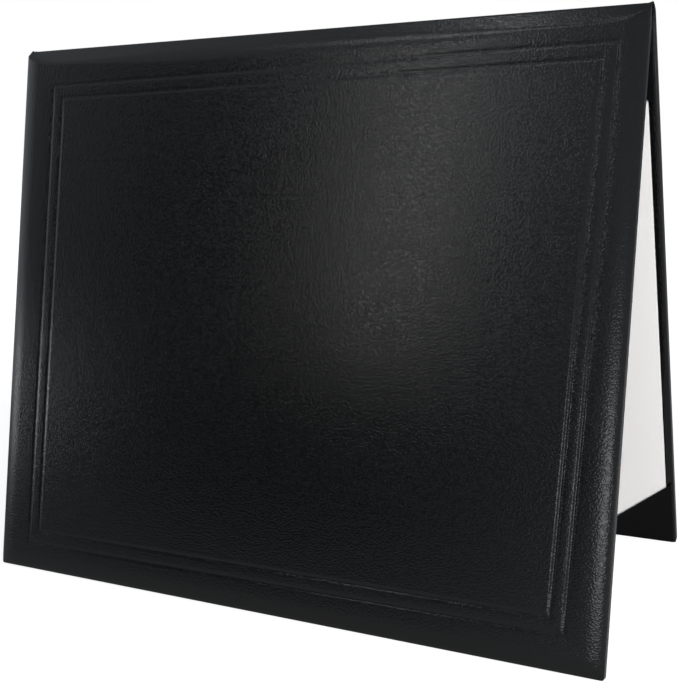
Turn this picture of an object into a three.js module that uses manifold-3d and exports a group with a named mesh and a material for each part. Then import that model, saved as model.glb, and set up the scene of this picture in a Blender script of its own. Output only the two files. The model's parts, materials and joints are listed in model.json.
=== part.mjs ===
// A padded diploma cover that stands as a tent: two covers joined by a fold along their top edges.
// Each cover is a greyboard with a foam pad on its outside, wrapped in leatherette that is turned in
// over three edges, with a lining glued over the turned-in edges. Four corner pockets on the back
// cover's inside hold a blank sheet.
// Millimetres. X runs along the fold, the front cover faces -Y, Z is up, and the origin lies on the
// ground under the middle of the fold.
import * as THREE from "three";
import { mergeVertices } from "three/addons/utils/BufferGeometryUtils.js";
import Module from "manifold-3d";

const wasm = await Module();
wasm.setup();

// Sheet and the cover made for it
const sheetWidth = 279.4;
const sheetLength = 215.9;
const sheetThickness = 0.25;
const sideMargin = 3.3;
const endMargin = 6;
const coverWidth = sheetWidth + 2 * sideMargin;
const coverLength = sheetLength + 2 * endMargin;
const coverCorner = 1.6;
const halfOpening = THREE.MathUtils.degToRad(14.56);

// Layers of a cover, from its inside outwards
const insideClearance = 0.7;
const liningThickness = 0.25;
const leatherette = 0.45;
const boardThickness = 1.8;
const padThickness = 1.8;
const glueLine = 0.1;

// Padded edge
const edgeRollWidth = 8;
const foldRollWidth = 2.4;
const edgeRollDepth = 1.65;
const rollSteps = 7;
const wallRounding = 0.35;

// Pressed frame: two grooves that run round the front cover
const outerGrooveInset = 13.2;
const innerGrooveInset = 18.8;
const grooveWidth = 3;
const grooveDepth = 0.75;
const grooveSteps = 6;
// The frame was pressed a little askew: how far its right top, left top, left bottom and right bottom
// corners lie from where an even border would put them
const frameShifts = [[2.8, 0.5], [4.8, -3.1], [4.1, -1.1], [-2, 0.8]];

// Turned-in edges and lining
const turnInWidth = 15;
const liningInset = 3;
const liningStep = 1.2;

// Fold
const foldReach = 2.6;
const ridgeHeight = 4.5;
const seamGap = 0.3;
const foldSteps = 14;

// Corner pockets
const pocketAlong = 40;
const pocketUp = 33;
const pocketThickness = 0.4;
const pocketInset = 1;
const pocketHem = 1.5;

// Heights above the plane of the fold's axis, worked out from the layers
const liningFace = insideClearance;
const turnInFace = liningFace + liningThickness + glueLine;
const boardFace = turnInFace + leatherette + glueLine;
const padFace = boardFace + boardThickness + glueLine;
const coverFace = padFace + padThickness + glueLine + leatherette;
const rollFoot = coverFace - edgeRollDepth;
const sheetFace = liningFace - glueLine - sheetThickness;

const cornerSteps = 3;

const leatheretteBlack = new THREE.MeshStandardMaterial({ color: 0x17181a, roughness: 0.42, metalness: 0 });
const liningBlack = new THREE.MeshStandardMaterial({ color: 0x131315, roughness: 0.7, metalness: 0 });
const greyboard = new THREE.MeshStandardMaterial({ color: 0x8b877f, roughness: 0.9, metalness: 0 });
const foam = new THREE.MeshStandardMaterial({ color: 0xd8d6d0, roughness: 0.95, metalness: 0 });
const paperWhite = new THREE.MeshStandardMaterial({ color: 0xece8e6, roughness: 0.8, metalness: 0 });

// A cover's own frame has its origin on the fold's axis, x along the fold, y up the cover and z out.
const coverTop = -foldReach;
const coverBottom = coverTop - coverLength;

// The inset of a ring from the fold's side, where the padded edge is narrower than on the other three
function foldSideInset(inset) {
  if (inset < edgeRollWidth) return (inset * foldRollWidth) / edgeRollWidth;
  return inset - edgeRollWidth + foldRollWidth;
}

function ring(inset, z, foldInset = foldSideInset(inset)) {
  return { inset, z, foldInset, shifts: [] };
}

// A ring of the outer surface, which moves with the pressed frame once it is past the padded edge
function faceRing(inset, z, foldInset = foldSideInset(inset)) {
  return { inset, z, foldInset, shifts: inset > edgeRollWidth ? frameShifts : [] };
}

// One closed outline with rounded corners, inset from a cover's edges, counterclockwise seen from outside
function ringPoints({ inset, z, foldInset, shifts }) {
  const right = coverWidth / 2 - inset;
  const top = coverTop - foldInset;
  const bottom = coverBottom + inset;
  const radius = Math.max(coverCorner - inset, leatherette);
  const corners = [
    [right - radius, top - radius, 0],
    [-right + radius, top - radius, 1],
    [-right + radius, bottom + radius, 2],
    [right - radius, bottom + radius, 3],
  ];
  const points = [];
  for (const [x, y, quarter] of corners) {
    const [aside, upwards] = shifts[quarter] ?? [0, 0];
    for (let step = 0; step <= cornerSteps; step += 1) {
      const angle = ((quarter + step / cornerSteps) * Math.PI) / 2;
      const across = x + aside + radius * Math.cos(angle);
      points.push(new THREE.Vector3(across, y + upwards + radius * Math.sin(angle), z));
    }
  }
  return points;
}

// A closed solid through a row of rings, with a flat cap on the first and the last
function loft(rings) {
  const rows = rings.map(ringPoints);
  const count = rows[0].length;
  const vertices = rows.flat();
  const faces = [];
  for (let row = 0; row + 1 < rows.length; row += 1) {
    for (let i = 0; i < count; i += 1) {
      const a = row * count + i;
      const b = row * count + ((i + 1) % count);
      faces.push(a, a + count, b, b, a + count, b + count);
    }
  }
  for (const [first, flip] of [[0, false], [(rows.length - 1) * count, true]]) {
    for (let i = 1; i + 1 < count; i += 1) {
      faces.push(first, ...(flip ? [first + i + 1, first + i] : [first + i, first + i + 1]));
    }
  }
  const geometry = new THREE.BufferGeometry().setFromPoints(vertices);
  geometry.setIndex(faces);
  geometry.computeVertexNormals();
  return geometry;
}

// How far a pressed groove sinks the surface at an inset: a round-bottomed channel
function grooveSink(inset) {
  for (const centre of [outerGrooveInset, innerGrooveInset]) {
    const share = Math.abs(inset - centre) / (grooveWidth / 2);
    if (share < 1) return (grooveDepth * (1 + Math.cos(Math.PI * share))) / 2;
  }
  return 0;
}

// The outer surface of a cover as insets and heights, from its edge to its flat middle
function faceProfile(pressed) {
  const profile = [];
  for (let step = 0; step <= rollSteps; step += 1) {
    const angle = (step / rollSteps) * (Math.PI / 2);
    const inset = edgeRollWidth * (1 - Math.cos(angle));
    profile.push([inset, rollFoot + edgeRollDepth * Math.sin(angle)]);
  }
  if (pressed) {
    for (const centre of [outerGrooveInset, innerGrooveInset]) {
      for (let step = 0; step <= grooveSteps; step += 1) {
        const inset = centre + grooveWidth * (step / grooveSteps - 0.5);
        profile.push([inset, coverFace - grooveSink(inset)]);
      }
    }
  }
  return profile;
}

// The leatherette of one cover: a tray that is turned in over the cover's edges and open at its fold side
function skinGeometry(pressed) {
  const face = faceProfile(pressed);
  const outside = face.map(([inset, z]) => faceRing(inset, z)).reverse();
  const lip = leatherette;
  const edge = [
    ring(0, turnInFace + wallRounding),
    ring(wallRounding, turnInFace),
    ring(turnInWidth, turnInFace, lip + glueLine),
    ring(turnInWidth, turnInFace + leatherette, lip + glueLine),
    ring(leatherette, turnInFace + leatherette, lip),
  ];
  const inside = face
    .filter(([inset]) => inset > leatherette)
    .map(([inset, z]) => faceRing(inset, z - leatherette, Math.max(foldSideInset(inset), leatherette)));
  const tray = loft([...outside, ...edge, ring(leatherette, rollFoot - leatherette, lip), ...inside]);
  const opening = new THREE.BoxGeometry(
    coverWidth - 2 * leatherette,
    2 * (leatherette + 2 * glueLine),
    rollFoot - leatherette,
  );
  opening.translate(0, coverTop, (rollFoot - leatherette) / 2);
  return cut(tray, opening);
}

// The foam pad: it fills the space between the board and the leatherette
function padGeometry(pressed) {
  const drop = leatherette + glueLine;
  const top = faceProfile(pressed)
    .filter(([inset]) => inset > 2 * drop)
    .map(([inset, z]) => faceRing(inset, z - drop, Math.max(foldSideInset(inset), drop)))
    .reverse();
  const foot = top[top.length - 1];
  return loft([...top, ring(foot.inset, padFace, foot.foldInset)]);
}

function boardGeometry() {
  const inset = leatherette + glueLine;
  return loft([ring(inset, boardFace + boardThickness, inset), ring(inset, boardFace, inset)]);
}

// The lining: glued over the turned-in edges, and pressed down onto the board inside them
function liningGeometry() {
  const well = boardFace - glueLine - liningThickness;
  const wellInset = turnInWidth + 2 * glueLine + liningThickness;
  const foldInset = liningInset;
  return loft([
    ring(wellInset, well + liningThickness, foldInset + liningStep),
    ring(wellInset - liningStep / 4, liningFace + liningThickness, foldInset + liningStep / 2),
    ring(liningInset, liningFace + liningThickness, foldInset),
    ring(liningInset, liningFace, foldInset),
    ring(wellInset, liningFace, foldInset + liningStep / 2),
    ring(wellInset + liningStep, well, foldInset + liningStep),
  ]);
}

function toManifold(geometry) {
  const merged = mergeVertices(geometry.clone().deleteAttribute("normal").deleteAttribute("uv"));
  const vertProperties = merged.attributes.position.array;
  const triVerts = new Uint32Array(merged.index.array);
  return new wasm.Manifold(new wasm.Mesh({ numProp: 3, vertProperties, triVerts }));
}

function fromManifold(solid) {
  const mesh = solid.getMesh();
  const geometry = new THREE.BufferGeometry();
  geometry.setAttribute("position", new THREE.BufferAttribute(mesh.vertProperties, 3));
  geometry.setIndex(new THREE.BufferAttribute(mesh.triVerts, 1));
  geometry.computeVertexNormals();
  return geometry;
}

function cut(geometry, tool) {
  return fromManifold(toManifold(geometry).subtract(toManifold(tool)));
}

function named(name, geometry, material) {
  const mesh = new THREE.Mesh(geometry, material);
  mesh.name = name;
  return mesh;
}

// A cover lies in its own frame and is then leant out from the fold
function cover(side, pressed) {
  const group = new THREE.Group();
  group.add(named(`${side}_skin`, skinGeometry(pressed), leatheretteBlack));
  group.add(named(`${side}_pad`, padGeometry(pressed), foam));
  group.add(named(`${side}_board`, boardGeometry(), greyboard));
  group.add(named(`${side}_lining`, liningGeometry(), liningBlack));
  group.rotation.x = Math.PI / 2 - halfOpening;
  return group;
}

// The leatherette between the covers: a strip that arches over the fold from one cover to the other
function foldGeometry() {
  const sine = Math.sin(halfOpening);
  const cosine = Math.cos(halfOpening);
  const radius = (rollFoot - ridgeHeight * sine) / (1 - sine);
  const centreHeight = ridgeHeight - radius;
  const seam = foldReach - seamGap;
  const footOf = (out, side) => [side * (seam * sine + out * cosine), out * sine - seam * cosine];
  const shape = new THREE.Shape();
  shape.moveTo(...footOf(rollFoot - leatherette, 1));
  shape.lineTo(...footOf(rollFoot, 1));
  shape.absarc(0, centreHeight, radius, halfOpening, Math.PI - halfOpening, false);
  shape.lineTo(...footOf(rollFoot, -1));
  shape.lineTo(...footOf(rollFoot - leatherette, -1));
  shape.absarc(0, centreHeight, radius - leatherette, Math.PI - halfOpening, halfOpening, true);
  shape.closePath();
  const geometry = new THREE.ExtrudeGeometry(shape, {
    depth: coverWidth,
    bevelEnabled: false,
    curveSegments: foldSteps,
  });
  geometry.translate(0, 0, -coverWidth / 2);
  const along = new THREE.Vector3(1, 0, 0);
  const across = new THREE.Vector3(0, 1, 0);
  const up = new THREE.Vector3(0, 0, 1);
  geometry.applyMatrix4(new THREE.Matrix4().makeBasis(across, up, along));
  return geometry;
}

function sheetGeometry() {
  const geometry = new THREE.BoxGeometry(sheetWidth, sheetLength, sheetThickness);
  geometry.translate(0, (coverTop + coverBottom) / 2, sheetFace + sheetThickness / 2);
  return geometry;
}

// A right triangle in a corner of the cover, as a prism between two heights
function cornerPrism(inset, reach, low, high, right, upper) {
  const x = right * (coverWidth / 2 - inset);
  const y = upper ? coverTop - inset : coverBottom + inset;
  const up = upper ? -1 : 1;
  const shape = new THREE.Shape();
  shape.moveTo(x, y);
  shape.lineTo(x - right * (pocketAlong - inset + reach), y);
  shape.lineTo(x, y + up * (pocketUp - inset + (reach * pocketUp) / pocketAlong));
  shape.closePath();
  const geometry = new THREE.ExtrudeGeometry(shape, { depth: high - low, bevelEnabled: false });
  geometry.translate(0, 0, low);
  return geometry;
}

// A corner pocket: a flap over the sheet's corner with a hem along the cover's two edges
function pocketGeometry(right, upper) {
  const flapFace = sheetFace - glueLine - pocketThickness;
  const foot = turnInFace - glueLine;
  const whole = cornerPrism(pocketInset, 0, flapFace, foot, right, upper);
  const hollow = cornerPrism(
    pocketInset + pocketHem,
    pocketAlong,
    flapFace + pocketThickness,
    foot + pocketThickness,
    right,
    upper,
  );
  return cut(whole, hollow);
}

const frontCover = cover("front", true);

const backCover = cover("back", false);
backCover.add(named("sheet", sheetGeometry(), paperWhite));
// The back cover is turned about, so its own right is the tent's left
for (const [across, right] of [["left", 1], ["right", -1]]) {
  for (const [height, upper] of [["lower", false], ["upper", true]]) {
    backCover.add(named(`pocket_${height}_${across}`, pocketGeometry(right, upper), liningBlack));
  }
}
const backTurn = new THREE.Group();
backTurn.rotation.z = Math.PI;
backTurn.add(backCover);

const diplomaCover = new THREE.Group();
diplomaCover.add(frontCover, backTurn, named("fold_skin", foldGeometry(), leatheretteBlack));

// The covers' free edges stand on the ground
const tent = new THREE.Group();
tent.add(diplomaCover);
tent.updateMatrixWorld(true);
diplomaCover.position.z = -new THREE.Box3().setFromObject(tent, true).min.z;

export default tent;
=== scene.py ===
import json
import math

import bpy
from mathutils import Matrix, Vector


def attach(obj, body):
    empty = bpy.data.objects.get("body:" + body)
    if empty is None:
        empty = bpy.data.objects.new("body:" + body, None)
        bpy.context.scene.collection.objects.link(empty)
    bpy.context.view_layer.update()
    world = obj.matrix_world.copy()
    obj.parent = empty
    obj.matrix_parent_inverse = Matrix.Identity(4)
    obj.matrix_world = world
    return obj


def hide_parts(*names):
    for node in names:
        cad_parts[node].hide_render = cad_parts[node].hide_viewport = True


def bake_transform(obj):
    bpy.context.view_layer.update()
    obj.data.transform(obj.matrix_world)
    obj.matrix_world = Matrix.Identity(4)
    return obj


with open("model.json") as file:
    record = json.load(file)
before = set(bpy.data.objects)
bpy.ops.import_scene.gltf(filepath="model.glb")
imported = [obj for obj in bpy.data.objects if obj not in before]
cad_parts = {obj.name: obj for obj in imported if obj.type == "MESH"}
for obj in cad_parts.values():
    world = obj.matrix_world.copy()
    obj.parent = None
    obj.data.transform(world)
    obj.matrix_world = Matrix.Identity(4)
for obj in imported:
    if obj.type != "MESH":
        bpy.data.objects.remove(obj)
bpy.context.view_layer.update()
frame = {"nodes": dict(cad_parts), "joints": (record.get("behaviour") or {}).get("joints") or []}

MM = 0.001

# Camera
# It stands to the right of the tent and a little below the ridge, looking down at the front cover.
# The lens is shifted so that the cover fills the picture as it does in the photograph.
PHOTO_WIDTH = 679
PHOTO_HEIGHT = 682
FOCAL_PIXELS = 952.7
AXIS_PIXEL = (482.5, 379.9)
CAMERA_PLACE = Vector((223.0, -345.1, 189.4)) * MM
CAMERA_AZIMUTH = math.radians(23.30)
CAMERA_PITCH = math.radians(-15.12)
CAMERA_ROLL = math.radians(-1.95)
SENSOR_WIDTH = 36
NEAREST = 10 * MM


def camera_axes(azimuth, pitch, roll):
    """The camera's axes as a matrix, from where it looks and how far it leans to one side."""
    level_share = math.cos(pitch)
    forward = Vector((-math.sin(azimuth) * level_share, math.cos(azimuth) * level_share, math.sin(pitch)))
    level = Vector((math.cos(azimuth), math.sin(azimuth), 0))
    above = level.cross(forward)
    right = level * math.cos(roll) + above * math.sin(roll)
    up = above * math.cos(roll) - level * math.sin(roll)
    return Matrix((right, up, -forward)).transposed()


camera_data = bpy.data.cameras.new("camera")
camera_data.sensor_fit = "HORIZONTAL"
camera_data.sensor_width = SENSOR_WIDTH
camera_data.lens = FOCAL_PIXELS / PHOTO_WIDTH * camera_data.sensor_width
camera_data.shift_x = -(AXIS_PIXEL[0] - PHOTO_WIDTH / 2) / PHOTO_WIDTH
camera_data.shift_y = (AXIS_PIXEL[1] - PHOTO_HEIGHT / 2) / PHOTO_WIDTH
camera_data.clip_start = NEAREST
camera = bpy.data.objects.new("camera", camera_data)
camera.matrix_world = Matrix.Translation(CAMERA_PLACE) @ camera_axes(
    CAMERA_AZIMUTH, CAMERA_PITCH, CAMERA_ROLL
).to_4x4()
bpy.context.scene.collection.objects.link(camera)
bpy.context.scene.camera = camera

# Leatherette
# The wrap is a black coated cloth with a fine pebbled grain pressed into it and finer pores on the
# pebbles. It is satin, with wide soft spots that are a little glossier than the rest.
# The colour is painted darker in the pits between the pebbles, as painted shade.
GRAIN_SIZE = 0.78 * MM
GRAIN_WANDER = 0.6 * GRAIN_SIZE
GRAIN_DEPTH = 0.046 * MM
PEBBLE_EDGE = 0.75
PEBBLE_TOP = 0.1
PORE_SIZE = 0.25 * MM
PORE_SHARE = 0.3
# the share of the colour left in the pits between the pebbles: painted shade
PAINTED_PIT_SHADE = 0.55
SWELL_SIZE = 14 * MM
GLOSS_SPREAD = 0.01


def new_material(name):
    material = bpy.data.materials.new(name)
    material.use_nodes = True
    nodes = material.node_tree.nodes
    return material, nodes, material.node_tree.links, nodes["Principled BSDF"]


def add_node(nodes, kind, **values):
    """A new node; each value is set as its property or else as what its socket holds."""
    node = nodes.new(kind)
    for key, value in values.items():
        if hasattr(node, key):
            setattr(node, key, value)
        else:
            node.inputs[key].default_value = value
    return node


def pebble_grain_group():
    """The grain as heights, as the pits between the pebbles (for painted shade), and as a slow swell for the
    gloss.
    """
    group = bpy.data.node_groups.new("pebble_grain", "ShaderNodeTree")
    for name, value in (("Grain Size", GRAIN_SIZE), ("Pore Size", PORE_SIZE), ("Swell Size", SWELL_SIZE)):
        socket = group.interface.new_socket(name, in_out="INPUT", socket_type="NodeSocketFloat")
        socket.default_value = value
    for name in ("Height", "Pits", "Swell"):
        group.interface.new_socket(name, in_out="OUTPUT", socket_type="NodeSocketFloat")
    nodes, links = group.nodes, group.links
    inputs = nodes.new("NodeGroupInput")
    outputs = nodes.new("NodeGroupOutput")
    coords = nodes.new("ShaderNodeTexCoord")

    def per_metre(socket):
        divide = add_node(nodes, "ShaderNodeMath", operation="DIVIDE")
        divide.inputs[0].default_value = 1.0
        links.new(inputs.outputs[socket], divide.inputs[1])
        return divide.outputs[0]

    grain_scale = per_metre("Grain Size")
    wander = add_node(nodes, "ShaderNodeTexNoise", Detail=1.0, Roughness=0.5)
    links.new(coords.outputs["Object"], wander.inputs["Vector"])
    links.new(grain_scale, wander.inputs["Scale"])
    bend = add_node(nodes, "ShaderNodeVectorMath", operation="MULTIPLY_ADD")
    bend.inputs[1].default_value = (GRAIN_WANDER,) * 3
    links.new(wander.outputs["Color"], bend.inputs[0])
    links.new(coords.outputs["Object"], bend.inputs[2])
    pebbles = add_node(nodes, "ShaderNodeTexVoronoi", feature="SMOOTH_F1", Smoothness=0.35)
    links.new(bend.outputs[0], pebbles.inputs["Vector"])
    links.new(grain_scale, pebbles.inputs["Scale"])
    domes = add_node(nodes, "ShaderNodeMapRange", interpolation_type="SMOOTHSTEP")
    domes.inputs["From Min"].default_value = PEBBLE_EDGE
    domes.inputs["From Max"].default_value = PEBBLE_TOP
    links.new(pebbles.outputs["Distance"], domes.inputs["Value"])
    pores = add_node(nodes, "ShaderNodeTexNoise", Detail=2.0, Roughness=0.6)
    links.new(coords.outputs["Object"], pores.inputs["Vector"])
    links.new(per_metre("Pore Size"), pores.inputs["Scale"])
    height = add_node(nodes, "ShaderNodeMath", operation="MULTIPLY_ADD")
    height.inputs[1].default_value = PORE_SHARE
    links.new(pores.outputs["Fac"], height.inputs[0])
    links.new(domes.outputs["Result"], height.inputs[2])
    links.new(height.outputs[0], outputs.inputs["Height"])
    pits = add_node(nodes, "ShaderNodeMath", operation="SUBTRACT")
    pits.inputs[0].default_value = 1.0
    links.new(domes.outputs["Result"], pits.inputs[1])
    links.new(pits.outputs[0], outputs.inputs["Pits"])
    swell = add_node(nodes, "ShaderNodeTexNoise", Detail=2.0, Roughness=0.45)
    links.new(coords.outputs["Object"], swell.inputs["Vector"])
    links.new(per_metre("Swell Size"), swell.inputs["Scale"])
    links.new(swell.outputs["Fac"], outputs.inputs["Swell"])
    return group


pebble_grain = pebble_grain_group()


def leatherette_material(name, colour, roughness, specular):
    material, nodes, links, shader = new_material(name)
    grain = nodes.new("ShaderNodeGroup")
    grain.node_tree = pebble_grain
    # painted shade: the colour is darker in the pits between the pebbles
    colour_mix = add_node(nodes, "ShaderNodeMix", data_type="RGBA")
    colour_mix.inputs[6].default_value = (*colour, 1)
    colour_mix.inputs[7].default_value = (*(part * PAINTED_PIT_SHADE for part in colour), 1)
    links.new(grain.outputs["Pits"], colour_mix.inputs[0])
    links.new(colour_mix.outputs[2], shader.inputs["Base Color"])
    gloss = add_node(nodes, "ShaderNodeMapRange")
    gloss.inputs["From Min"].default_value = 0.1
    gloss.inputs["From Max"].default_value = 0.9
    gloss.inputs["To Min"].default_value = roughness - GLOSS_SPREAD
    gloss.inputs["To Max"].default_value = roughness + GLOSS_SPREAD
    links.new(grain.outputs["Swell"], gloss.inputs["Value"])
    links.new(gloss.outputs[0], shader.inputs["Roughness"])
    bump = add_node(nodes, "ShaderNodeBump", Strength=0.75)
    bump.inputs["Distance"].default_value = GRAIN_DEPTH
    links.new(grain.outputs["Height"], bump.inputs["Height"])
    links.new(bump.outputs[0], shader.inputs["Normal"])
    shader.inputs["Specular IOR Level"].default_value = specular
    return material


leatherette = leatherette_material("leatherette", (0.0036, 0.0037, 0.0040), roughness=0.165, specular=0.5)

# Wrap
# One sheet of leatherette over both covers and the fold: it rises over the foam pads with soft edges,
# runs over the ridge, and is turned in over the covers' free edges and glued down.
# A mitred frame of two grooves is pressed into the front, a little askew and less deep to the left.
COVER_WIDTH = 286 * MM
COVER_LENGTH = 227.9 * MM
FOLD_REACH = 2.6 * MM
HALF_OPENING = math.radians(14.56)
AXIS_HEIGHT = frame["joints"][0]["pos_m"][2]
RIDGE_HEIGHT = 4.5 * MM
SKIN = 0.45 * MM
TURN_IN_FACE = 1.05 * MM
EDGE_FACE = 4.2 * MM
FOAM_RISE = 1.65 * MM
ROLL_WIDTH = 8 * MM
# the leatherette lies like a roof between the ridge and the foam's upper edge, the crest
CREST_DROP = (6.3 * MM, 1.8 * MM)
CREST_PULL_REACH = 7 * MM
CREST_ROUNDING = (0.9 * MM, 3.6 * MM)
# distances from the side between which the crest's rounding widens
CREST_WIDENING = (25 * MM, 90 * MM)
RIDGE_ROUNDING = 1.8 * MM
ROOF_FOOT = -7.0 * MM
ROOF_LENGTH = 12.8 * MM
GROOVE_CENTRES = (13.2 * MM, 18.8 * MM)
GROOVE_WIDTH = 2.8 * MM
GROOVE_DEPTH = 0.36 * MM
# how much less deep the grooves are along the frame's upper and lower side, and at its left end
SHALLOWER = 0.45
SHALLOWER_LEFT = 0.65
SHALLOWER_WITHIN = (4 * MM, 12 * MM)
LEFT_TO_RIGHT = (-125 * MM, 80 * MM)
# the frame's upper side lies this much nearer the ridge than the roof's foot would put it
FRAME_LIFT = 2 * MM
# how many millimetres the frame's corners lie aside and upwards: upper right and left, lower left and right
FRAME_SHIFTS = ((2.8, 0.5), (4.8, -3.1), (4.1, -1.1), (-2.0, 0.8))
TURN_IN_WIDTH = 15 * MM
TURN_IN_BEND = 0.2 * TURN_IN_WIDTH
WALL_LEVELS = (3.4 * MM, 2.4 * MM)
WALL_ROUNDING = 0.35 * MM
WALL_ARC_MIDDLE = 0.3 * WALL_ROUNDING
# distances from the ridge between which the wall and the turned-in edge run out into the fold
WALL_RUN_OUT = (0.4 * MM, 8.4 * MM)
CORNER_RADIUS = 0.8 * MM
# rings of the back's face inside its rolled edge, which has no grooves
BACK_RINGS = (11 * MM, 15 * MM, 20 * MM)
ROLL_STEPS = 28
GROOVE_STEPS = 12
ALONG_STEPS = 84
UP_STEPS = 66

# a ring's vertices run along the bottom, up the right side, back along the top and down the left side
TOP_START = ALONG_STEPS + UP_STEPS
TOP_END = TOP_START + ALONG_STEPS
RING_COUNT = TOP_END + UP_STEPS
# places along the ridge are told apart by whole steps of this many to the metre
KEYS_PER_METRE = 1e7

SINE, COSINE = math.sin(HALF_OPENING), math.cos(HALF_OPENING)
COVER_FOOT = -FOLD_REACH - COVER_LENGTH
PATH_LENGTH = ROOF_LENGTH + ROOF_FOOT - COVER_FOOT


def smooth_share(value, low, high):
    share = min(1.0, max(0.0, (value - low) / (high - low)))
    return share * share * (3 - 2 * share)


def side_shares(steps):
    return [0.5 - 0.5 * math.cos(math.pi * i / steps) for i in range(steps + 1)]


def roll_rise(inset):
    share = min(1.0, max(0.0, inset / ROLL_WIDTH))
    return math.sqrt(max(0.0, 1 - (1 - share) ** 2))


def across(out, up):
    """A point at a height out of a cover's plane and up along it, as y away from the fold and z over it."""
    return Vector((out * COSINE - up * SINE, out * SINE + up * COSINE))


def rounded_bend(before, bend, after, reach, along):
    """A point on a bent line with its corner rounded; along runs from -reach to reach there."""
    start = bend + (before - bend).normalized() * reach
    end = bend + (after - bend).normalized() * reach
    share = 0.5 + 0.5 * along / reach
    return start * (1 - share) ** 2 + bend * 2 * share * (1 - share) + end * share**2


def roof_point(path, side_inset, out):
    """The wrap between the ridge and the cover's face, whose height is out at this distance from the side."""
    pull = math.exp(-side_inset / CREST_PULL_REACH)
    drop = CREST_DROP[0] - (CREST_DROP[0] - CREST_DROP[1]) * pull
    level = RIDGE_HEIGHT - drop
    crest = across(out, (level - out * SINE) / COSINE)
    slope = math.atan2(RIDGE_HEIGHT - crest.y, crest.x)
    ridge = Vector((0, RIDGE_HEIGHT + RIDGE_ROUNDING * math.sin(slope) / 2))
    foot = across(out, ROOF_FOOT)
    strip, face = (crest - ridge).length, (foot - crest).length
    along = path / ROOF_LENGTH * (strip + face)
    if along < RIDGE_ROUNDING:
        mirrored = Vector((-crest.x, crest.y))
        return rounded_bend(mirrored, ridge, crest, RIDGE_ROUNDING, along)
    tight, wide = CREST_ROUNDING
    reach = tight + (wide - tight) * smooth_share(side_inset, *CREST_WIDENING)
    if abs(along - strip) < reach:
        return rounded_bend(ridge, crest, foot, reach, along - strip)
    if along < strip:
        return ridge.lerp(crest, along / strip)
    return crest.lerp(foot, (along - strip) / face)


def groove_sink(inset):
    for centre in GROOVE_CENTRES:
        share = abs(inset - centre) / (GROOVE_WIDTH / 2)
        if share < 1:
            return GROOVE_DEPTH * (1 + math.cos(math.pi * share)) / 2
    return 0.0


def press_share(x, path, inset):
    """The grooves are pressed less deep along the frame's upper and lower side, and towards the left."""
    high, low = top_path(1.0, inset), PATH_LENGTH - inset
    near = 1 - smooth_share(min(path - high, low - path), *SHALLOWER_WITHIN)
    leftwards = 1 - smooth_share(x, *LEFT_TO_RIGHT)
    return (1 - SHALLOWER * near) * (1 - SHALLOWER_LEFT * leftwards)


def top_path(row_share, inset):
    """Where the ridge side of a ring lies: on the ridge for the outermost one."""
    if inset < ROLL_WIDTH:
        return ROOF_LENGTH * row_share
    return ROOF_LENGTH + inset - ROLL_WIDTH - FRAME_LIFT


def ring_places(inset, shifted, row_share=1.0):
    """Places (x, path) round a ring, from the lower left corner to the right, up and back."""
    shifts = FRAME_SHIFTS if shifted else ((0, 0),) * 4
    half_x, low, high = COVER_WIDTH / 2 - inset, PATH_LENGTH - inset, top_path(row_share, inset)
    corners = {}
    for name, sign_x, path, (aside, upwards) in zip(
        ("right_top", "left_top", "left_low", "right_low"), (1, -1, -1, 1), (high, high, low, low), shifts
    ):
        corners[name] = Vector((sign_x * half_x + aside * MM, path - upwards * MM))
    along, up = side_shares(ALONG_STEPS), side_shares(UP_STEPS)
    places = []
    for start, end, shares in (
        ("left_low", "right_low", along),
        ("right_low", "right_top", up),
        ("right_top", "left_top", along),
        ("left_top", "left_low", up),
    ):
        places += [corners[start].lerp(corners[end], share) for share in shares[:-1]]
    return places


def round_corner(x, path):
    """The cover's two lower corners, rounded off."""
    edge_x, edge_path = COVER_WIDTH / 2 - CORNER_RADIUS, PATH_LENGTH - CORNER_RADIUS
    over_x, over_path = abs(x) - edge_x, path - edge_path
    if over_x <= 0 or over_path <= 0:
        return x, path
    shrink = max(over_x, over_path) / math.hypot(over_x, over_path)
    return math.copysign(edge_x + over_x * shrink, x), edge_path + over_path * shrink


def place(point, x, front):
    """A point of a cover's section in the part's own axes; the back cover is the front's, turned round."""
    return (x, -point.x, AXIS_HEIGHT + point.y) if front else (-x, point.x, AXIS_HEIGHT + point.y)


def outer_point(x, path, sink, front):
    side_inset = COVER_WIDTH / 2 - abs(x)
    out = EDGE_FACE + FOAM_RISE * roll_rise(side_inset) * roll_rise(PATH_LENGTH - path)
    x, path = round_corner(x, path)
    if path < ROOF_LENGTH:
        return place(roof_point(path, side_inset, out), x, front)
    return place(across(out - sink, ROOF_FOOT - (path - ROOF_LENGTH)), x, front)


def lower_point(above, path, inset, out, front):
    """The point of the wall or the turned-in edge under a point of the outer surface."""
    x, y, z = (above[0], -above[1], above[2]) if front else (-above[0], above[1], above[2])
    z -= AXIS_HEIGHT
    share = smooth_share(path, *WALL_RUN_OUT)
    out = out * share + (y * COSINE + z * SINE) * (1 - share)
    half_x = COVER_WIDTH / 2 - inset * share
    up = max(z * COSINE - y * SINE, COVER_FOOT + inset)
    return place(across(out, up), max(-half_x, min(half_x, x)), front)


def face_rings(front):
    """The rings of a cover's face from its edge inwards, each as inset, depth and whether it is askew."""
    shares = [1 - math.cos(math.pi / 2 * step / ROLL_STEPS) for step in range(ROLL_STEPS + 1)]
    rings = [(ROLL_WIDTH * share, 0.0, False) for share in shares]
    if not front:
        return rings + [(inset, 0.0, False) for inset in BACK_RINGS]
    for centre in GROOVE_CENTRES:
        for step in range(GROOVE_STEPS + 1):
            inset = centre + GROOVE_WIDTH * (step / GROOVE_STEPS - 0.5)
            rings.append((inset, groove_sink(inset), True))
    return rings


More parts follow.
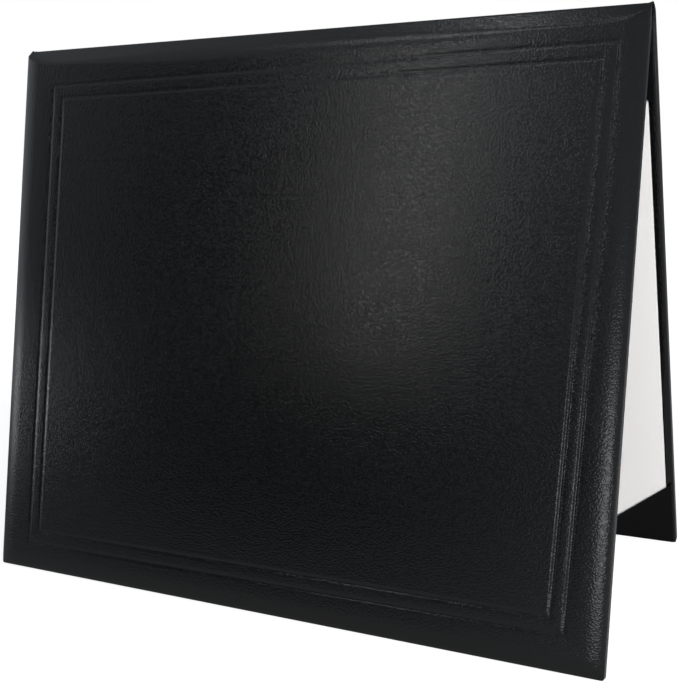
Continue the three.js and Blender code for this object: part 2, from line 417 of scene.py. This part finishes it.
def add_rings(front, rings, vertices, faces, ridge):
    """The rolled edge and the frame; the ridge's vertices are made once and shared by both covers."""
    index = []
    for number, (inset, sink, shifted) in enumerate(rings):
        row = []
        for i, (x, path) in enumerate(ring_places(inset, shifted, min(1.0, number / ROLL_STEPS))):
            if number == 0 and TOP_START <= i <= TOP_END:
                key = round((x if front else -x) * KEYS_PER_METRE)
                if key not in ridge:
                    ridge[key] = len(vertices)
                    vertices.append(outer_point(x, 0.0, 0.0, front))
                row.append(ridge[key])
                continue
            row.append(len(vertices))
            vertices.append(outer_point(x, path, sink * press_share(x, path, inset), front))
        index.append(row)
    for inner, outer in zip(index[1:], index[:-1]):
        for i in range(RING_COUNT):
            j = (i + 1) % RING_COUNT
            faces.append((outer[i], outer[j], inner[j], inner[i]))
    return index[0], index[-1]


def add_middle(front, inset, shifted, last, vertices, faces):
    """The flat middle inside the last ring."""
    ring = ring_places(inset, shifted)
    low_left, low_right = ring[0], ring[ALONG_STEPS]
    top_right, top_left = ring[TOP_START], ring[TOP_END]
    along, up = side_shares(ALONG_STEPS), side_shares(UP_STEPS)
    grid = {}
    for j in range(UP_STEPS + 1):
        for i in range(ALONG_STEPS + 1):
            if j == 0:
                grid[i, j] = last[i]
            elif i == ALONG_STEPS:
                grid[i, j] = last[ALONG_STEPS + j]
            elif j == UP_STEPS:
                grid[i, j] = last[TOP_START + ALONG_STEPS - i]
            elif i == 0:
                grid[i, j] = last[TOP_END + UP_STEPS - j]
            else:
                grid[i, j] = len(vertices)
                at_low = low_left.lerp(low_right, along[i])
                at_top = top_left.lerp(top_right, along[i])
                x, path = at_low.lerp(at_top, up[j])
                vertices.append(outer_point(x, path, 0.0, front))
    for j in range(UP_STEPS):
        for i in range(ALONG_STEPS):
            faces.append((grid[i, j], grid[i + 1, j], grid[i + 1, j + 1], grid[i, j + 1]))


def add_turned_edge(front, first, vertices, faces):
    """The walls and the turned-in edges along the left side, the bottom and the right side."""
    sides = ring_places(0.0, False, 0.0)
    run = list(range(TOP_END, RING_COUNT)) + list(range(0, TOP_START + 1))
    run = [i for i in run if sides[i].y > WALL_RUN_OUT[0]]
    section = [(0.0, level) for level in WALL_LEVELS]
    section += [
        (0.0, TURN_IN_FACE + WALL_ROUNDING),
        (WALL_ARC_MIDDLE, TURN_IN_FACE + WALL_ARC_MIDDLE),
        (WALL_ROUNDING, TURN_IN_FACE),
        (TURN_IN_BEND, TURN_IN_FACE),
        (TURN_IN_WIDTH, TURN_IN_FACE),
    ]
    above = [first[i] for i in run]
    for inset, height in section:
        below = []
        for i in run:
            below.append(len(vertices))
            vertices.append(lower_point(vertices[first[i]], sides[i].y, inset, height, front))
        for i in range(len(run) - 1):
            faces.append((above[i], below[i], below[i + 1], above[i + 1]))
        above = below


def half_wrap(front, vertices, faces, ridge):
    """One cover's share of the wrap."""
    rings = face_rings(front)
    first, last = add_rings(front, rings, vertices, faces, ridge)
    inset, _, shifted = rings[-1]
    add_middle(front, inset, shifted, last, vertices, faces)
    add_turned_edge(front, first, vertices, faces)


def new_mesh(name, vertices, faces, smooth=False):
    mesh = bpy.data.meshes.new(name)
    mesh.from_pydata(vertices, [], faces)
    mesh.validate()
    if smooth:
        mesh.polygons.foreach_set("use_smooth", [True] * len(mesh.polygons))
    return mesh


def wrap_mesh():
    vertices, faces, ridge = [], [], {}
    half_wrap(True, vertices, faces, ridge)
    half_wrap(False, vertices, faces, ridge)
    return new_mesh("wrap", vertices, faces, smooth=True)


def with_thickness(mesh, thickness):
    """The mesh as a sheet that has its outside where it was."""
    piece = bpy.data.objects.new("cloth", mesh)
    bpy.context.scene.collection.objects.link(piece)
    solidify = piece.modifiers.new("thickness", "SOLIDIFY")
    solidify.thickness = thickness
    solidify.offset = -1
    result = bpy.data.meshes.new_from_object(piece.evaluated_get(bpy.context.evaluated_depsgraph_get()))
    bpy.data.objects.remove(piece)
    return result


def add_piece(name, mesh, material):
    mesh.materials.clear()
    mesh.materials.append(material)
    piece = bpy.data.objects.new(name, mesh)
    bpy.context.scene.collection.objects.link(piece)
    return piece


wrap = add_piece("wrap", with_thickness(wrap_mesh(), SKIN), leatherette)
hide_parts("front_skin", "back_skin", "fold_skin")
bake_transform(wrap)

# Linings
# Thin black cloth on paper, glued over the turned-in edges and down onto the board inside them.
# Its middle goes on to the board's upper edge and is turned over it, as a tongue.


def lining_material():
    material, nodes, links, shader = new_material("lining_cloth")
    coords = nodes.new("ShaderNodeTexCoord")
    threads = add_node(nodes, "ShaderNodeTexWave", Scale=420.0, Distortion=0.6, bands_direction="X")
    cross = add_node(nodes, "ShaderNodeTexWave", Scale=420.0, Distortion=0.6, bands_direction="Z")
    links.new(coords.outputs["Object"], threads.inputs["Vector"])
    links.new(coords.outputs["Object"], cross.inputs["Vector"])
    weave = add_node(nodes, "ShaderNodeMath", operation="MULTIPLY")
    links.new(threads.outputs["Fac"], weave.inputs[0])
    links.new(cross.outputs["Fac"], weave.inputs[1])
    colour = add_node(nodes, "ShaderNodeMix", data_type="RGBA")
    colour.inputs[6].default_value = (0.0018, 0.0018, 0.0020, 1)
    colour.inputs[7].default_value = (0.0036, 0.0036, 0.0039, 1)
    links.new(weave.outputs[0], colour.inputs[0])
    links.new(colour.outputs[2], shader.inputs["Base Color"])
    bump = add_node(nodes, "ShaderNodeBump", Strength=0.4)
    bump.inputs["Distance"].default_value = 0.05 * MM
    links.new(weave.outputs[0], bump.inputs["Height"])
    links.new(bump.outputs[0], shader.inputs["Normal"])
    shader.inputs["Roughness"].default_value = 0.62
    shader.inputs["Specular IOR Level"].default_value = 0.2
    return material


lining_cloth = lining_material()
LINING_INSET = 3 * MM
LINING_THICKNESS = 0.25 * MM
OVER_TURN_IN = 0.7 * MM
ON_BOARD = 1.25 * MM
# distances from the cover's edges between which the lining steps down from the turned-in edge
STEP_DOWN = (15 * MM, 16.6 * MM)
STEP_DOWN_CELLS = 4
LINING_EDGE_STRIP = 6 * MM
LINING_COLUMNS = 40
LINING_LEVELS = 30
TONGUE_INSET = STEP_DOWN[0] + 0.3 * MM
TONGUE_EDGE = -2.85 * MM
TONGUE_END = 4.2 * MM
TONGUE_ROUNDING = 0.3 * MM
TONGUE_ARC_MIDDLE = 0.08 * MM


def lining_out(x, up):
    """How far out the lining lies: it steps outwards from the turned-in edges down to the board."""
    side = smooth_share(COVER_WIDTH / 2 - abs(x), *STEP_DOWN)
    low = smooth_share(up - COVER_FOOT, *STEP_DOWN)
    return OVER_TURN_IN + (ON_BOARD - OVER_TURN_IN) * min(side, low)


def lining_mesh(front):
    """A grid of columns and levels, closer together where the lining steps down."""
    half, bend = COVER_WIDTH / 2 - LINING_INSET, COVER_WIDTH / 2 - STEP_DOWN[1]
    step = (STEP_DOWN[1] - STEP_DOWN[0]) / STEP_DOWN_CELLS
    left = [-half, -half + LINING_EDGE_STRIP]
    left += [-bend + step * i for i in range(-STEP_DOWN_CELLS, 0)]
    columns = left + [-bend + 2 * bend * i / LINING_COLUMNS for i in range(LINING_COLUMNS + 1)]
    columns += [-x for x in reversed(left)]
    foot, top = COVER_FOOT + LINING_INSET, -FOLD_REACH - LINING_INSET
    levels = [foot, foot + LINING_EDGE_STRIP]
    levels += [COVER_FOOT + STEP_DOWN[0] + step * i for i in range(STEP_DOWN_CELLS + 1)]
    flat = levels[-1]
    levels += [flat + (top - flat) * i / LINING_LEVELS for i in range(1, LINING_LEVELS + 1)]
    places = [[(lining_out(x, up), up, x) for x in columns] for up in levels]
    over_the_edge = (
        (ON_BOARD, TONGUE_EDGE - TONGUE_ROUNDING),
        (ON_BOARD + TONGUE_ARC_MIDDLE, TONGUE_EDGE - TONGUE_ARC_MIDDLE),
        (ON_BOARD + TONGUE_ROUNDING, TONGUE_EDGE),
        (TONGUE_END, TONGUE_EDGE),
    )
    places += [[(out, up, x) for x in columns] for out, up in over_the_edge]
    vertices = [place(across(out, up), x, front) for row in places for out, up, x in row]
    faces, count, tongue = [], len(columns), COVER_WIDTH / 2 - TONGUE_INSET
    for j in range(len(places) - 1):
        for i in range(count - 1):
            if j < len(levels) - 1 or abs(columns[i] + columns[i + 1]) / 2 < tongue:
                low, high = j * count + i, (j + 1) * count + i
                faces.append((low, high, high + 1, low + 1))
    return new_mesh("lining", vertices, faces, smooth=True)


def dress(node, material):
    """The CAD's own node with a material made for it."""
    slots = frame["nodes"][node].data.materials
    slots.clear()
    slots.append(material)


for side in ("front", "back"):
    mesh = with_thickness(lining_mesh(side == "front"), LINING_THICKNESS)
    lining = add_piece(f"{side}_lining_cloth", mesh, lining_cloth)
    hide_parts(f"{side}_lining")
    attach(lining, f"{side}_cover")

# Corner pockets
# Four triangles of the lining cloth over the sheet's corners, glued down on the turned-in edges outside
# the lining; each flap lifts a little along its open side.
POCKET_ALONG = 40 * MM
POCKET_UP = {"lower": 33 * MM, "upper": 27.5 * MM}
POCKET_INSET = 1 * MM
POCKET_THICKNESS = 0.4 * MM
POCKET_FACE = -0.15 * MM
POCKET_FOOT = 0.95 * MM
POCKET_LIFT = 0.12 * MM
POCKET_STEPS = 16


def pocket_mesh(height, sign):
    """A pocket at the lower or upper corner; sign is 1 on the left, as x on the back cover runs leftwards."""
    corner_x = sign * (COVER_WIDTH / 2 - POCKET_INSET)
    upper = height == "upper"
    corner_up = -FOLD_REACH - POCKET_INSET if upper else COVER_FOOT + POCKET_INSET
    run_x = -sign * (POCKET_ALONG - POCKET_INSET)
    run_up = (-1 if upper else 1) * (POCKET_UP[height] - POCKET_INSET)
    vertices, faces, flap = [], [], {}
    for j in range(POCKET_STEPS + 1):
        for i in range(POCKET_STEPS + 1 - j):
            a, b = i / POCKET_STEPS, j / POCKET_STEPS
            lift = POCKET_LIFT * 4 * a * b * (a + b)
            flap[i, j] = len(vertices)
            flap_point = across(POCKET_FACE - lift, corner_up + b * run_up)
            vertices.append(place(flap_point, corner_x + a * run_x, False))
    for j in range(POCKET_STEPS):
        for i in range(POCKET_STEPS - j):
            faces.append((flap[i, j], flap[i + 1, j], flap[i, j + 1]))
            if i + j < POCKET_STEPS - 1:
                faces.append((flap[i + 1, j], flap[i + 1, j + 1], flap[i, j + 1]))
    legs = [(i, 0) for i in range(POCKET_STEPS, -1, -1)] + [(0, j) for j in range(1, POCKET_STEPS + 1)]
    above = [flap[key] for key in legs]
    below = []
    for i, j in legs:
        below.append(len(vertices))
        up = corner_up + j / POCKET_STEPS * run_up
        vertices.append(place(across(POCKET_FOOT, up), corner_x + i / POCKET_STEPS * run_x, False))
    for k in range(len(legs) - 1):
        faces.append((above[k], above[k + 1], below[k + 1], below[k]))
    if (sign > 0) == upper:
        faces = [face[::-1] for face in faces]
    return new_mesh("pocket", vertices, faces)


for height in ("lower", "upper"):
    for name, sign in (("left", 1), ("right", -1)):
        mesh = with_thickness(pocket_mesh(height, sign), POCKET_THICKNESS)
        pocket = add_piece(f"corner_pocket_{height}_{name}", mesh, lining_cloth)
        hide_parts(f"pocket_{height}_{name}")
        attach(pocket, "back_cover")

# Boards and pads
# Grey bookbinding board and soft foam sheet, both wholly inside the wrap. The foam follows the wrap's
# face and is pressed in under the grooves.


def speckled_material(name, dark, light, size, roughness):
    material, nodes, links, shader = new_material(name)
    coords = nodes.new("ShaderNodeTexCoord")
    fleck = add_node(nodes, "ShaderNodeTexNoise", Scale=1 / size, Detail=3.0)
    links.new(coords.outputs["Object"], fleck.inputs["Vector"])
    colour = add_node(nodes, "ShaderNodeMix", data_type="RGBA")
    colour.inputs[6].default_value = (*dark, 1)
    colour.inputs[7].default_value = (*light, 1)
    links.new(fleck.outputs["Fac"], colour.inputs[0])
    links.new(colour.outputs[2], shader.inputs["Base Color"])
    bump = add_node(nodes, "ShaderNodeBump", Strength=0.3)
    bump.inputs["Distance"].default_value = 0.1 * MM
    links.new(fleck.outputs["Fac"], bump.inputs["Height"])
    links.new(bump.outputs[0], shader.inputs["Normal"])
    shader.inputs["Roughness"].default_value = roughness
    return material


raw_board = speckled_material("raw_greyboard", (0.20, 0.19, 0.17), (0.32, 0.30, 0.27), 1.5 * MM, 0.9)
soft_foam = speckled_material("soft_foam", (0.60, 0.58, 0.54), (0.74, 0.72, 0.68), 0.6 * MM, 0.95)
PAD_GAP = 0.1 * MM
PAD_FOOT = 3.5 * MM
PAD_TOP = -4.4 * MM
PAD_TOP_SLOPE = 0.4
PAD_ROLL_STEPS = range(5, 13)
PAD_GROOVE_STEPS = 8


def pad_mesh(front):
    """The foam as rings of four corners, from its foot over the rolled edge to the flat face."""
    shares = [1 - math.cos(math.pi / 2 * step / PAD_ROLL_STEPS[-1]) for step in PAD_ROLL_STEPS]
    insets = [(ROLL_WIDTH * share, 0.0) for share in shares]
    edge = insets[0][0]
    if front:
        for centre in GROOVE_CENTRES:
            for step in range(PAD_GROOVE_STEPS + 1):
                inset = centre + GROOVE_WIDTH * (step / PAD_GROOVE_STEPS - 0.5)
                insets.append((inset, groove_sink(inset)))
    vertices, faces, rings = [], [], []
    for inset, sink in [(edge, None)] + insets:
        out = PAD_FOOT
        if sink is not None:
            out = EDGE_FACE + FOAM_RISE * roll_rise(inset) - SKIN - PAD_GAP - sink
        half, low = COVER_WIDTH / 2 - inset, COVER_FOOT + inset
        high, shifts = PAD_TOP - PAD_TOP_SLOPE * (inset - edge), ((0, 0),) * 4
        if inset > ROLL_WIDTH:
            high, shifts = ROOF_FOOT - inset + ROLL_WIDTH + FRAME_LIFT, FRAME_SHIFTS
        corners = ((half, high), (-half, high), (-half, low), (half, low))
        ring = []
        for (x, up), (aside, upwards) in zip(corners, shifts):
            ring.append(len(vertices))
            vertices.append(place(across(out, up + upwards * MM), x + aside * MM, front))
        rings.append(ring)
    for outer, inner in zip(rings, rings[1:]):
        for i in range(4):
            j = (i + 1) % 4
            faces.append((outer[i], outer[j], inner[j], inner[i]))
    faces += [tuple(rings[-1]), tuple(rings[0][::-1])]
    return new_mesh("pad", vertices, faces)


for side in ("front", "back"):
    dress(f"{side}_board", raw_board)
    pad = add_piece(f"{side}_foam_pad", pad_mesh(side == "front"), soft_foam)
    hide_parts(f"{side}_pad")
    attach(pad, f"{side}_cover")

# Sheet
# A blank letter-size sheet of white paper, held flat by the corner pockets. It is the CAD's own solid,
# with fine fibres for its surface.


def paper_material():
    material, nodes, links, shader = new_material("white_paper")
    coords = nodes.new("ShaderNodeTexCoord")
    fibre = add_node(nodes, "ShaderNodeTexNoise", Scale=900.0, Detail=4.0, Roughness=0.6)
    links.new(coords.outputs["Object"], fibre.inputs["Vector"])
    colour = add_node(nodes, "ShaderNodeMix", data_type="RGBA")
    colour.inputs[6].default_value = (0.80, 0.775, 0.765, 1)
    colour.inputs[7].default_value = (0.86, 0.835, 0.825, 1)
    links.new(fibre.outputs["Fac"], colour.inputs[0])
    links.new(colour.outputs[2], shader.inputs["Base Color"])
    bump = add_node(nodes, "ShaderNodeBump", Strength=0.15)
    bump.inputs["Distance"].default_value = 0.02 * MM
    links.new(fibre.outputs["Fac"], bump.inputs["Height"])
    links.new(bump.outputs[0], shader.inputs["Normal"])
    shader.inputs["Roughness"].default_value = 0.75
    shader.inputs["Specular IOR Level"].default_value = 0.3
    return material


dress("sheet", paper_material())

# Studio
# A pale floor that keeps the tent's shadow, a dim bluish room with one dark corner and a far window to
# the left of the camera, and soft boxes: a tall strip mirrored in the front with one over it, one for
# the ridge, two low at the left, one low in front, and one at the right that lights the sheet.
FLOOR_SIZE = 6.0


def floor_material():
    material, nodes, links, shader = new_material("studio_floor")
    shader.inputs["Base Color"].default_value = (0.5, 0.5, 0.5, 1)
    shader.inputs["Roughness"].default_value = 0.9
    shader.inputs["Specular IOR Level"].default_value = 0.0
    coords = nodes.new("ShaderNodeTexCoord")
    away = add_node(nodes, "ShaderNodeVectorMath", operation="LENGTH")
    links.new(coords.outputs["Object"], away.inputs[0])
    lift = add_node(nodes, "ShaderNodeMapRange", interpolation_type="SMOOTHSTEP")
    lift.inputs["From Min"].default_value = 0.25
    lift.inputs["From Max"].default_value = 0.9
    lift.inputs["To Min"].default_value = 0.8
    lift.inputs["To Max"].default_value = 1.0
    links.new(away.outputs["Value"], lift.inputs["Value"])
    path = nodes.new("ShaderNodeLightPath")
    glow = add_node(nodes, "ShaderNodeMath", operation="MULTIPLY")
    links.new(path.outputs["Is Camera Ray"], glow.inputs[0])
    links.new(lift.outputs[0], glow.inputs[1])
    shader.inputs["Emission Color"].default_value = (1, 1, 1, 1)
    links.new(glow.outputs[0], shader.inputs["Emission Strength"])
    return material


half = FLOOR_SIZE / 2
corners = [(-half, -half, 0), (half, -half, 0), (half, half, 0), (-half, half, 0)]
floor = add_piece("floor", new_mesh("floor", corners, [(0, 1, 2, 3)]), floor_material())


def soft_box(name, target, azimuth, elevation, distance, width, height, radiance, mirrored=True):
    """A lamp seen from the target at an azimuth (from the front towards the right) and an elevation."""
    turn, lift = math.radians(azimuth), math.radians(elevation)
    away = Vector((math.sin(turn) * math.cos(lift), -math.cos(turn) * math.cos(lift), math.sin(lift)))
    lamp = bpy.data.lights.new(name, "AREA")
    lamp.shape = "RECTANGLE"
    lamp.size = width
    lamp.size_y = height
    lamp.energy = radiance * width * height * math.pi
    box = bpy.data.objects.new(name, lamp)
    box.location = Vector(target) + away * distance
    box.rotation_euler = (-away).to_track_quat("-Z", "Y").to_euler()
    box.visible_glossy = mirrored
    bpy.context.scene.collection.objects.link(box)


soft_box("strip_box", (0.065, -0.022, 0.162), -29.8, 25, 1.6, 0.08, 0.86, 4.7)
soft_box("high_box", (0.089, -0.008, 0.214), -43, 54, 1.5, 0.46, 0.26, 2.0)
soft_box("ridge_box", (0.089, -0.004, 0.222), -88, 69, 1.5, 0.16, 0.08, 5.5)
soft_box("left_box", (-0.138, -0.038, 0.101), -58.5, 2.5, 1.0, 0.18, 0.15, 3.2)
soft_box("low_left_box", (-0.138, -0.045, 0.076), -88, -2, 1.0, 0.26, 0.07, 0.5)
soft_box("front_box", (0.140, -0.042, 0.086), 2, 5, 1.5, 0.34, 0.36, 3.6)
soft_box("right_box", (0.120, 0.030, 0.120), 60, 6, 1.0, 0.50, 0.40, 27.0, mirrored=False)

world = bpy.data.worlds.new("studio")
world.use_nodes = True
bpy.context.scene.world = world
world_nodes, world_links = world.node_tree.nodes, world.node_tree.links
surround = world_nodes["Background"]
direction = world_nodes.new("ShaderNodeTexCoord")


def patch(azimuth, elevation, outer, inner, around, within):
    """The room's brightness near a direction: one outside the outer angle, another within the inner."""
    turn, lift = math.radians(azimuth), math.radians(elevation)
    towards = add_node(world_nodes, "ShaderNodeVectorMath", operation="DOT_PRODUCT")
    towards.inputs[1].default_value = (
        math.sin(turn) * math.cos(lift),
        -math.cos(turn) * math.cos(lift),
        math.sin(lift),
    )
    world_links.new(direction.outputs["Generated"], towards.inputs[0])
    level = add_node(world_nodes, "ShaderNodeMapRange", interpolation_type="SMOOTHSTEP")
    level.inputs["From Min"].default_value = math.cos(math.radians(outer))
    level.inputs["From Max"].default_value = math.cos(math.radians(inner))
    level.inputs["To Min"].default_value = around
    level.inputs["To Max"].default_value = within
    world_links.new(towards.outputs["Value"], level.inputs["Value"])
    return level.outputs[0]


dark_corner = patch(-38, 10, 28, 7, 0.41, 0.04)
far_window = patch(-75, 5, 35, 10, 0.0, 0.38)
together = add_node(world_nodes, "ShaderNodeMath", operation="ADD")
world_links.new(dark_corner, together.inputs[0])
world_links.new(far_window, together.inputs[1])
parts = world_nodes.new("ShaderNodeSeparateXYZ")
world_links.new(direction.outputs["Generated"], parts.inputs[0])


def dimmed(room, axis, start, end, least):
    """The room's brightness, which falls to a least share of it between two points of an axis."""
    share = add_node(world_nodes, "ShaderNodeMapRange", interpolation_type="SMOOTHSTEP")
    share.inputs["From Min"].default_value = start
    share.inputs["From Max"].default_value = end
    share.inputs["To Min"].default_value = 1.0
    share.inputs["To Max"].default_value = least
    world_links.new(parts.outputs[axis], share.inputs["Value"])
    product = add_node(world_nodes, "ShaderNodeMath", operation="MULTIPLY")
    world_links.new(room, product.inputs[0])
    world_links.new(share.outputs[0], product.inputs[1])
    return product.outputs[0]


room = dimmed(together.outputs[0], "Z", 0.4, 0.85, 0.8)
room = dimmed(room, "Y", 0.0, 0.6, 0.35)
path = world_nodes.new("ShaderNodeLightPath")
white = add_node(world_nodes, "ShaderNodeMath", operation="MAXIMUM")
world_links.new(path.outputs["Is Camera Ray"], white.inputs[0])
world_links.new(room, white.inputs[1])
world_links.new(white.outputs[0], surround.inputs["Strength"])
colour_mix = add_node(world_nodes, "ShaderNodeMix", data_type="RGBA")
colour_mix.inputs[6].default_value = (0.87, 0.93, 1.0, 1)
colour_mix.inputs[7].default_value = (1, 1, 1, 1)
world_links.new(path.outputs["Is Camera Ray"], colour_mix.inputs[0])
world_links.new(colour_mix.outputs[2], surround.inputs["Color"])

bpy.context.scene.view_settings.view_transform = "Standard"
